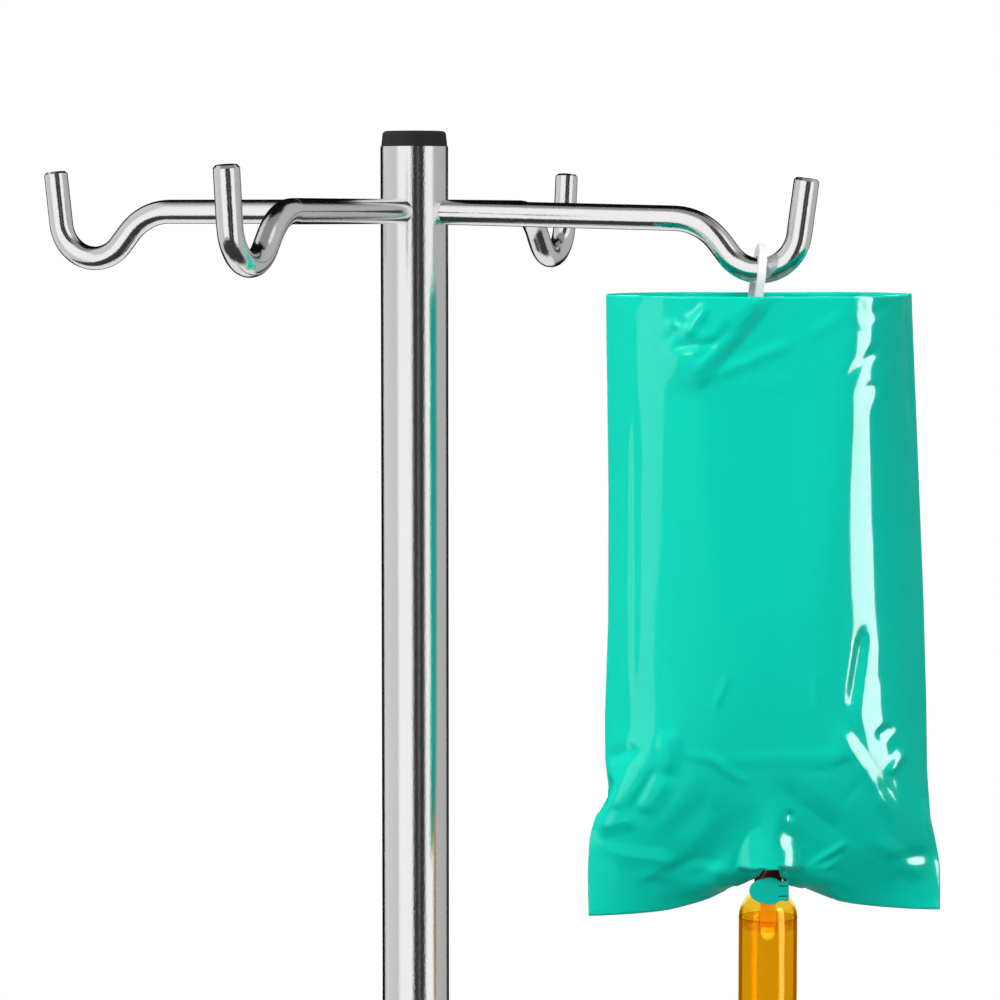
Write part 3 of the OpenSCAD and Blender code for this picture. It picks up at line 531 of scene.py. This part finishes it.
def bend_pairs(ring, rows, span, edges):
    """Pairs span cells apart, left out where they would cross a side edge."""
    jj, ii = np.meshgrid(np.arange(rows + 1), np.arange(ring), indexing="ij")
    families = []
    for phase in range(2 * span):
        pick = ii % (2 * span) == phase
        for edge in edges:
            for step in range(1, span):
                pick &= (ii + step) % ring != edge
        families.append((jj[pick], ii[pick], jj[pick], (ii[pick] + span) % ring, "across"))
        pick = (jj % (2 * span) == phase) & (jj <= rows - span)
        families.append((jj[pick], ii[pick], jj[pick] + span, ii[pick], "down"))
    return families


def sleeve_section(width):
    """Where one sheet's columns lie across a full sleeve of this width: (x share, depth)."""
    across = np.linspace(-1.0, 1.0, 601)
    bulge = np.maximum(1.0 - np.abs(across) ** 3, 0.0) ** 0.7
    shallow, deep = 0.0, HALF_DEPTH
    for _ in range(24):
        depth = (shallow + deep) / 2
        steps = np.hypot(np.diff(across) * width / 2, np.diff(bulge) * depth)
        shallow, deep = (depth, deep) if steps.sum() < FLAT_W else (shallow, depth)
    run = np.concatenate(([0.0], np.cumsum(steps)))
    even = np.linspace(0.0, run[-1], COLS + 1)
    return (np.interp(even, run, across) + 1) / 2, np.interp(even, run, bulge) * depth


def finer(points):
    """Halves the cells of a (rows, ring, 3) sleeve along smooth curves through its points."""
    before, after, next_after = (np.roll(points, k, axis=1) for k in (1, -1, -2))
    middle = (9 * (points + after) - before - next_after) / 16
    across = np.empty((points.shape[0], 2 * points.shape[1], 3))
    across[:, 0::2], across[:, 1::2] = points, middle
    padded = np.concatenate((2 * across[:1] - across[1:2], across, 2 * across[-1:] - across[-2:-1]))
    middle = (9 * (padded[1:-2] + padded[2:-1]) - padded[:-3] - padded[3:]) / 16
    down = np.empty((2 * across.shape[0] - 1, across.shape[1], 3))
    down[0::2], down[1::2] = across, middle
    return down


def crease_height(x, down, crease):
    """Height of one crease over the sheet: a sharp ridge that fades at both ends."""
    x0, down0, x1, down1, reach, height = crease[:6]
    left_reach = crease[6] if len(crease) > 6 else reach
    length = math.hypot(x1 - x0, down1 - down0)
    ux, ud = (x1 - x0) / length, (down1 - down0) / length
    along = ((x - x0) * ux + (down - down0) * ud) / length
    aside = (x - x0) * ud - (down - down0) * ux
    aside = np.where(aside > 0, aside / reach, -aside / left_reach)
    fade = smoothstep(np.minimum(along, 1 - along) / CREASE_FADE)
    return height * np.maximum(1 - aside, 0.0) * fade


def random_creases(rng, zone):
    least_x, most_x, least_down, most_down, count, _ = zone
    for _ in range(count):
        x, down = rng.uniform(least_x, most_x), rng.uniform(least_down, most_down)
        turn, half = rng.uniform(0, math.pi), rng.uniform(4.0, 11.0)
        step_x, step_down = half * math.cos(turn), half * math.sin(turn)
        yield (x - step_x, down - step_down, x + step_x, down + step_down,
               rng.uniform(2.0, 5.0), rng.uniform(0.08, 0.26) * rng.choice((-1, 1)))


def press_creases(points):
    """Raises the creases on both sheets, along the film's normals."""
    ring = points.shape[1]
    half = ring // 2
    x, down = points[..., 0], COVER_TOP - points[..., 2]
    column = np.arange(ring)
    sheets = {"front": (column > 0) & (column < half), "back": column > half}
    to_edge = np.minimum(column % half, (-column) % half)
    height = np.zeros(x.shape)
    rng = np.random.default_rng(CREASE_SEED)
    for crease in CREASES:
        height += crease_height(x, down, crease) * sheets["front"]
    for zone in CRUMPLED:
        for crease in random_creases(rng, zone):
            height += crease_height(x, down, crease) * sheets[zone[-1]]
    height *= smoothstep(to_edge / EDGE_CELLS)
    height = np.clip(height, *CREASE_LIMITS)
    round_it = np.roll(points, -1, axis=1) - np.roll(points, 1, axis=1)
    normal = np.cross(round_it, np.gradient(points, axis=0))
    normal /= np.linalg.norm(normal, axis=-1, keepdims=True) + 1e-9
    outward = np.where(sheets["front"], -1.0, 1.0) * np.sign(normal[..., 1])
    return points + normal * (height * outward)[..., None]


def soft_ripple(ring):
    """Slow random waves over the sheets, (rows, ring), that give the settling film a start."""
    rng = np.random.default_rng(RIPPLE_SEED)
    ripple = rng.normal(0, 1, (ROWS // 7 + 3, ring // 8 + 1))
    grow_j = np.linspace(0, ripple.shape[0] - 1.001, ROWS + 1)
    grow_i = np.arange(ring) / 8.0
    j0, i0 = grow_j.astype(int), grow_i.astype(int)
    fj, fi = (grow_j - j0)[:, None], (grow_i - i0)[None, :]
    i0, i1 = i0 % ripple.shape[1], (i0 + 1) % ripple.shape[1]
    return (ripple[j0][:, i0] * (1 - fj) * (1 - fi) + ripple[j0 + 1][:, i0] * fj * (1 - fi)
            + ripple[j0][:, i1] * (1 - fj) * fi + ripple[j0 + 1][:, i1] * fj * fi)


def full_sleeve(column, side, down, edges):
    """The sleeve's start: full over its whole height, between its two side edges."""
    left, right = edges
    points = np.zeros((ROWS + 1, len(column), 3))
    for j, width in enumerate(right - left):
        share, depth = sleeve_section(width)
        points[j, :, 0] = left[j] + width * share[column]
        points[j, :, 1] = side * depth[column]
    points[..., 1] += soft_ripple(len(column)) * RIPPLE * (side != 0) * smoothstep(down / 150.0)[:, None]
    return points


def constraints(ring, cell_x, cell_z):
    """The pulls that keep the film's size, and the softer ones that keep it from folding."""
    def rest(kind, columns, span=1):
        tall = cell_z[columns][:, None]
        lengths = {"across": cell_x, "down": tall, "shear": np.hypot(cell_x, tall)}
        return lengths[kind] * span

    sizes = [(a, b, c, d, rest(kind, b), 0.35 if kind == "shear" else 0.9)
             for a, b, c, d, kind in ring_pairs(ring, ROWS)]
    bends = [(a, b, c, d, rest(kind, b, span), stiff) for span, stiff in ((2, 0.16), (5, 0.06))
             for a, b, c, d, kind in bend_pairs(ring, ROWS, span, (0, COLS))]
    return sizes, bends


def hold_edges(points, edges, offset, edge_z):
    """Draws the side edges, the sealed bottom edge and the mouth to where they rest."""
    for column, edge in zip((0, COLS), edges):
        points[:, column, 0] += (edge - points[:, column, 0]) * 0.25
        points[:, column, 1] *= 0.97
    front, back = slice(1, COLS), slice(2 * COLS - 1, COLS, -1)
    sealed = np.abs(offset[1:COLS]) > SEALED_FROM
    seam = (points[-1, front, :] + points[-1, back, :]) / 2
    for sheet, sign in ((front, -1.0), (back, 1.0)):
        row = points[-1, sheet, :]
        row[sealed] = seam[sealed]
        row[sealed, 1] = sign * SEAM_HALF
        points[-1, sheet, :] = row
    hold = 0.06 + 0.44 * smoothstep((16.0 - np.abs(offset)) / 8.0)
    points[-1, :, 2] += (edge_z - points[-1, :, 2]) * hold
    points[0, :, 2] += (COVER_TOP - points[0, :, 2]) * 0.5


def tuck(points, offset):
    """Draws the lowest rows straight beside the spike."""
    tucked = points[-1 - TUCK_ROWS:, :, 1:]
    even = np.linspace(0, 1, TUCK_ROWS + 1)[:, None, None]
    straight = tucked[0] + (tucked[-1] - tucked[0]) * even
    tucked += (straight - tucked) * np.exp(-(offset / 14.0) ** 4)[:, None]


def drape_cover(steps):
    """Position-based cloth: the sleeve settles round the bottle. Returns (rows, ring, 3)."""
    ring = 2 * COLS
    i = np.arange(ring)
    column = np.where(i <= COLS, i, ring - i)
    side = np.where((i > 0) & (i < COLS), -1.0, np.where(i > COLS, 1.0, 0.0))
    down = np.linspace(0.0, COVER_TOP - COVER_BOTTOM, ROWS + 1)
    edges = profile(down, LEFT_EDGE), profile(down, RIGHT_EDGE)
    points = full_sleeve(column, side, down, edges)
    left_end, right_end = edges[0][-1], edges[1][-1]
    offset = (left_end + (right_end - left_end) * (column / COLS)) - CHAMBER_X
    edge_z = ARCH_Z - profile(offset, BOTTOM_EDGE)
    cell_z = (COVER_TOP - edge_z + PATH_SLACK * np.exp(-(offset / 20.0) ** 2)) / ROWS
    points[..., 2] = COVER_TOP - np.linspace(0, 1, ROWS + 1)[:, None] * (COVER_TOP - edge_z)
    sizes, bends = constraints(ring, FLAT_W / COLS, cell_z)
    velocity = np.zeros_like(points)
    for step in range(steps):
        filled = min(1.0, step / (FILL_TIME * steps))
        before = points.copy()
        velocity[..., 2] -= FALL
        velocity[..., 1] += side * PUFF * (1 - 0.6 * (down / down[-1])[:, None])
        points += velocity * 0.985
        for a, b, c, d, length, stiff in sizes:
            pull(points, (a, b), (c, d), length, stiff)
        if step % 2 == 0:
            for a, b, c, d, length, stiff in bends:
                pull(points, (a, b), (c, d), length, stiff, only_squeeze=True)
        push_out(points, 0.25 + 0.75 * filled)
        points[:, 1:COLS, 1] = np.clip(points[:, 1:COLS, 1], -HALF_DEPTH, -SHEET_OFF)
        points[:, COLS + 1:, 1] = np.clip(points[:, COLS + 1:, 1], SHEET_OFF, HALF_DEPTH)
        hold_edges(points, edges, offset, edge_z)
        velocity = (points - before) * 0.9
    tuck(points, offset)
    push_out(points, 1.0, LAST_GAP)
    return points


def ring_mesh(name, points, material):
    """Closed ring of quads from a (rows, ring, 3) array in millimetres of the bottle's frame."""
    rows, ring = points.shape[:2]
    mesh = bpy.data.meshes.new(name)
    flat = points.reshape(-1, 3)
    faces = []
    for j in range(rows - 1):
        for i in range(ring):
            k = (i + 1) % ring
            faces.append((j * ring + i, j * ring + k, (j + 1) * ring + k, (j + 1) * ring + i))
    mesh.from_pydata([tuple(p) for p in flat], [], faces)
    mesh.transform(HUNG)
    mesh.update()
    for polygon in mesh.polygons:
        polygon.use_smooth = True
    mesh.materials.append(material)
    piece = bpy.data.objects.new(name, mesh)
    bpy.context.scene.collection.objects.link(piece)
    return piece


def make_cover():
    """The cover: settled, creased, and given the film's thickness."""
    points = press_creases(finer(drape_cover(STEPS)))
    points[0, points.shape[1] // 2:, 2] += BACK_RISE
    cover = ring_mesh("cover_film", points, FINISH["cover_film"])
    skin = cover.modifiers.new("film", "SOLIDIFY")
    skin.thickness = FILM_T
    skin.offset = 0.0
    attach(cover, "bottle_set")
    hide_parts("cover_bag")
    return cover


# Radius of the drop under the drip former at heights in the bottle's frame, mm.
DROP_PROFILE = ((-225.95, 2.3), (-226.6, 2.42), (-227.8, 2.5), (-228.9, 2.4), (-229.8, 1.95),
                (-230.4, 1.2), (-230.65, 0.55), (-230.7, 0.05))
DROP_SIDES = 20


def make_drop():
    """The drop of solution that hangs from the drip former."""
    turns = np.linspace(0, 2 * math.pi, DROP_SIDES, endpoint=False)
    rows = [np.stack((CHAMBER_X + r * np.cos(turns), r * np.sin(turns), np.full(DROP_SIDES, z)), axis=-1)
            for z, r in DROP_PROFILE]
    drop = ring_mesh("hanging_drop", np.array(rows), FINISH["hanging_liquid"])
    smooth = drop.modifiers.new("smooth", "SUBSURF")
    smooth.levels = smooth.render_levels = 2
    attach(drop, "bottle_set")


# ------------------------------------------------------------------ studio

FLOOR_REACH = 3.0                   # metres
FLOOR_FADE = (0.75, 2.2)            # where the floor starts and ends fading, metres from the pole
FLOOR_DROP = 0.0005                 # how far it lies under the tyres, metres


def make_floor():
    """A pale round floor that fades into the white surround."""
    mesh = bpy.data.meshes.new("floor")
    shape = bmesh.new()
    bmesh.ops.create_circle(shape, cap_ends=True, segments=96, radius=FLOOR_REACH)
    shape.to_mesh(mesh)
    shape.free()
    floor = bpy.data.objects.new("floor", mesh)
    floor.location.z = -FLOOR_DROP
    bpy.context.scene.collection.objects.link(floor)
    material, t = new_material("floor_paint")
    place = object_coords(t)
    away = t.add("ShaderNodeVectorMath", operation="LENGTH")
    t.put(place, away.inputs[0])
    diffuse = t.add("ShaderNodeBsdfDiffuse")
    grain = t.noise(place, 6.0, detail=3.0)
    t.put(t.mix(grain, (0.86, 0.86, 0.86), (0.9, 0.9, 0.9)), diffuse.inputs["Color"])
    clear = t.add("ShaderNodeBsdfTransparent")
    fade = t.smooth(away.outputs["Value"], *FLOOR_FADE)
    show(t, t.mix_shader(fade, diffuse.outputs[0], clear.outputs[0]))
    mesh.materials.append(material)
    floor.visible_glossy = False        # undersides see the dark studio below, not a white floor
    floor.visible_diffuse = False


def sector(degrees):
    return (degrees + 180.0) / 360.0


# Brightness of the studio that shiny things see, by degrees to the right of the camera.
MID_BANDS = ((-180, 0.0), (-135, 0.0), (-129, 0.72), (-62, 0.62), (-55, 1.0), (-9, 1.0), (-5, 0.03),
             (12.5, 0.03), (14, 0.45), (15.5, 0.03), (34, 0.03), (38, 1.0), (66, 1.0), (70, 0.5),
             (139, 0.45), (146, 0.0), (180, 0.0))
HIGH_BANDS = ((-180, 0.0), (-112, 0.0), (-96, 0.28), (96, 0.28), (112, 0.0), (180, 0.0))
LOW_BANDS = ((-180, 0.85), (-115, 0.85), (-100, 0.04), (100, 0.04), (115, 0.85), (180, 0.85))


def make_world():
    """White surround; shiny things see tall soft boxes with dark gaps, set round the camera."""
    world = bpy.data.worlds.new("studio")
    world.use_nodes = True
    t = Tree(world.node_tree)
    coords = t.add("ShaderNodeTexCoord")
    seen = t.add("ShaderNodeSeparateXYZ")
    t.put(coords.outputs["Camera"], seen.inputs[0])
    up = t.add("ShaderNodeSeparateXYZ")
    t.put(coords.outputs["Generated"], up.inputs[0])
    toward = t.math("MULTIPLY", seen.outputs["Z"], -1.0)
    turn = t.math("ARCTAN2", seen.outputs["X"], toward)
    sweep = t.math("ADD", t.math("DIVIDE", turn, 2 * math.pi), 0.5)
    height = t.math("DEGREES", t.math("ARCSINE", up.outputs["Z"]))

    def bands(table):
        return t.ramp(sweep, [(sector(place), value) for place, value in table])

    middle = bands(MID_BANDS)
    shiny = t.mix(t.smooth(height, 50.0, 64.0), middle, bands(HIGH_BANDS))
    shiny = t.mix(t.smooth(height, -30.0, -38.0), shiny, bands(LOW_BANDS))
    soft = t.ramp(t.math("ADD", t.math("MULTIPLY", up.outputs["Z"], 0.5), 0.5),
                  ((0.0, 0.25), (0.42, 0.5), (0.58, 0.98), (1.0, 1.1)))
    path = t.add("ShaderNodeLightPath")
    colour = t.mix(path.outputs["Is Diffuse Ray"], (1.0, 1.0, 1.0), soft)
    colour = t.mix(path.outputs["Is Glossy Ray"], colour, shiny)
    background = t.add("ShaderNodeBackground")
    t.put(colour, background.inputs["Color"])
    t.put(background.outputs[0], t.add("ShaderNodeOutputWorld").inputs["Surface"])
    bpy.context.scene.world = world


CAMERA_TURN = math.radians(24.2)    # the camera stands this far round from the front
CAMERA_AWAY = 1.172                 # metres from the pole
CAMERA_BELOW_ARMS = 0.0014
CAMERA_LENS = 129.4                 # mm on a 36 mm sensor
YAW = math.radians(1.36)            # how far it looks right of the pole
PITCH = math.radians(4.52)          # and down
KEY_PLACE = (-0.45, -1.7, 3.1)
KEY_TARGET = (0.0, 0.0, 1.1)
KEY_POWER = 60.0
# Soft boxes for the film: name, degrees right of the camera, distance, height, size, radiance.
SHINES = (("bright", 53, 2.2, 1.8, (0.85, 2.6), 150.0), ("dim", -69, 2.2, 1.5, (1.15, 2.6), 10.0),
          ("behind", 172, 2.2, 1.5, (0.85, 2.6), 10.0), ("corner", -28, 2.0, 1.95, (0.9, 0.7), 32.0),
          ("top", -18, 1.6, 3.1, (0.5, 0.5), 50.0))
AMBER_SHINE = (53, 2.2, 1.5, (0.85, 2.6), 32.0)
PLASTICS_SHARE = 0.05               # how bright the same soft boxes are for the plastics
SHINE_AIM = 1.15                    # the height on the pole that they face, metres


def add_area(name, place, target, size, power):
    lamp = bpy.data.lights.new(name, "AREA")
    lamp.shape = "DISK"
    lamp.size = size
    lamp.energy = power
    light = bpy.data.objects.new(name, lamp)
    light.location = place
    light.rotation_euler = (Vector(target) - Vector(place)).to_track_quat("-Z", "Y").to_euler()
    light.visible_glossy = False
    bpy.context.scene.collection.objects.link(light)


def add_shine(name, turn, away, height, size, radiance, receivers):
    """A soft box that only glints on plastics and film, turn degrees right of the camera."""
    lamp = bpy.data.lights.new(name, "AREA")
    lamp.shape = "RECTANGLE"
    lamp.size, lamp.size_y = size
    lamp.energy = radiance * math.pi * size[0] * size[1]
    light = bpy.data.objects.new(name, lamp)
    angle = CAMERA_TURN + math.radians(turn)
    light.location = (away * math.sin(angle), -away * math.cos(angle), height)
    aim = Vector((0.0, 0.0, SHINE_AIM)) - light.location
    light.rotation_euler = aim.to_track_quat("-Z", "Y").to_euler()
    light.visible_camera = False
    light.visible_diffuse = False
    light.visible_transmission = False
    light.light_linking.receiver_collection = receivers
    bpy.context.scene.collection.objects.link(light)


def add_shines(cover):
    """Soft boxes that only glint: a full set for the film, a dim set for plastics, one for amber."""
    groups = {name: bpy.data.collections.new(name) for name in ("film", "amber", "plastics")}
    groups["film"].objects.link(cover)
    for name, node in NODES.items():
        if SLOTS[name] == "amber_plastic":
            groups["amber"].objects.link(node)
        elif SLOTS[name] not in ("satin_steel", "black_plastic"):
            groups["plastics"].objects.link(node)
    for name, turn, away, height, size, radiance in SHINES:
        add_shine("film_" + name, turn, away, height, size, radiance, groups["film"])
        add_shine("plastics_" + name, turn, away, height, size, radiance * PLASTICS_SHARE,
                  groups["plastics"])
    add_shine("amber_bright", *AMBER_SHINE, groups["amber"])


def make_camera():
    camera = bpy.data.objects.new("camera", bpy.data.cameras.new("camera"))
    camera.data.sensor_width = 36.0
    camera.data.lens = CAMERA_LENS
    camera.data.clip_start = 0.05
    camera.location = (CAMERA_AWAY * math.sin(CAMERA_TURN), -CAMERA_AWAY * math.cos(CAMERA_TURN),
                       ARM_Z - CAMERA_BELOW_ARMS)
    camera.rotation_euler = (math.pi / 2 - PITCH, 0.0, CAMERA_TURN - YAW)
    bpy.context.scene.collection.objects.link(camera)
    bpy.context.scene.camera = camera


# ------------------------------------------------------------------ build

dress_cad()
cover = make_cover()
make_drop()
make_floor()
make_world()
add_shines(cover)
add_area("key", KEY_PLACE, KEY_TARGET, 1.0, KEY_POWER)
make_camera()
bpy.context.scene.view_settings.view_transform = "Standard"
